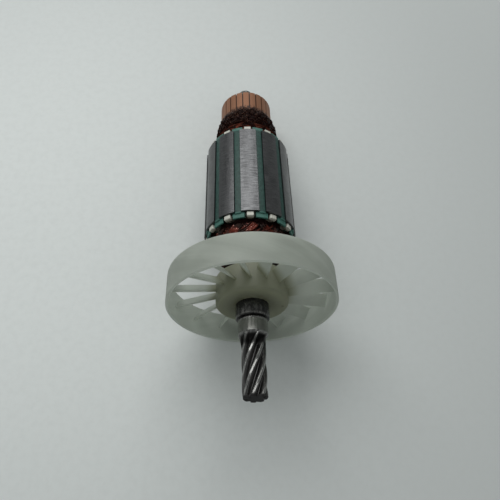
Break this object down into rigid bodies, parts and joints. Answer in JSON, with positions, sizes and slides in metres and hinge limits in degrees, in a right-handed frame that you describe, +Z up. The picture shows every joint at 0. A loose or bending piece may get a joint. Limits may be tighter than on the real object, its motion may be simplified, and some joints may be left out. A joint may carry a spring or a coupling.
{
  "type": "motor armature",
  "caption": "Universal motor armature: slotted laminated core, varnished winding, copper commutator, ring fan and a helical pinion cut on the shaft end.",
  "frame": {"origin": "on the table under the middle of the armature's length and width, at the height of the surface it lies on", "axes": "+Z up; the shaft runs along Y with the pinion towards -Y and raised, because the armature lies on the fan's rim and the commutator's edge, so the shaft falls 11.5 degrees towards +Y; X is across"},
  "size_m": [0.093, 0.2246, 0.0944],
  "materials": {
    "ground_steel": "hardened, dark in the tooth spaces and ground bright on the seats",
    "blackened_steel": "blackened, slightly rough",
    "milky_nylon": "translucent milky grey-green",
    "sleeve_moulding": "dull",
    "core_steel": "laminated sheet steel, turned on the outside",
    "end_plate_moulding": "off-white, dull",
    "liner_paper": "dull green",
    "varnished_copper": "enamelled copper wire under dark impregnating varnish",
    "phenolic": "dark brown moulding",
    "green_wedge": "dull green",
    "bar_copper": "turned copper, lightly tarnished"
  },
  "bodies": {
    "root": {"shaft": "ground_steel", "collar": "blackened_steel", "fan": "milky_nylon", "shaft_sleeve": "sleeve_moulding", "lamination_stack": "core_steel", "drive_end_plate": "end_plate_moulding", "commutator_end_plate": "end_plate_moulding", "slot_liners": "liner_paper", "winding": "varnished_copper", "commutator_body": "phenolic", "slot_wedge_01": "green_wedge", "slot_wedge_02": "green_wedge", "slot_wedge_03": "green_wedge", "slot_wedge_04": "green_wedge", "slot_wedge_05": "green_wedge", "slot_wedge_06": "green_wedge", "slot_wedge_07": "green_wedge", "slot_wedge_08": "green_wedge", "slot_wedge_09": "green_wedge", "slot_wedge_10": "green_wedge", "slot_wedge_11": "green_wedge", "slot_wedge_12": "green_wedge", "commutator_bar_01": "bar_copper", "commutator_bar_02": "bar_copper", "commutator_bar_03": "bar_copper", "commutator_bar_04": "bar_copper", "commutator_bar_05": "bar_copper", "commutator_bar_06": "bar_copper", "commutator_bar_07": "bar_copper", "commutator_bar_08": "bar_copper", "commutator_bar_09": "bar_copper", "commutator_bar_10": "bar_copper", "commutator_bar_11": "bar_copper", "commutator_bar_12": "bar_copper", "commutator_bar_13": "bar_copper", "commutator_bar_14": "bar_copper", "commutator_bar_15": "bar_copper", "commutator_bar_16": "bar_copper", "commutator_bar_17": "bar_copper", "commutator_bar_18": "bar_copper", "commutator_bar_19": "bar_copper", "commutator_bar_20": "bar_copper", "commutator_bar_21": "bar_copper", "commutator_bar_22": "bar_copper", "commutator_bar_23": "bar_copper", "commutator_bar_24": "bar_copper"}
  },
  "joints": []
}
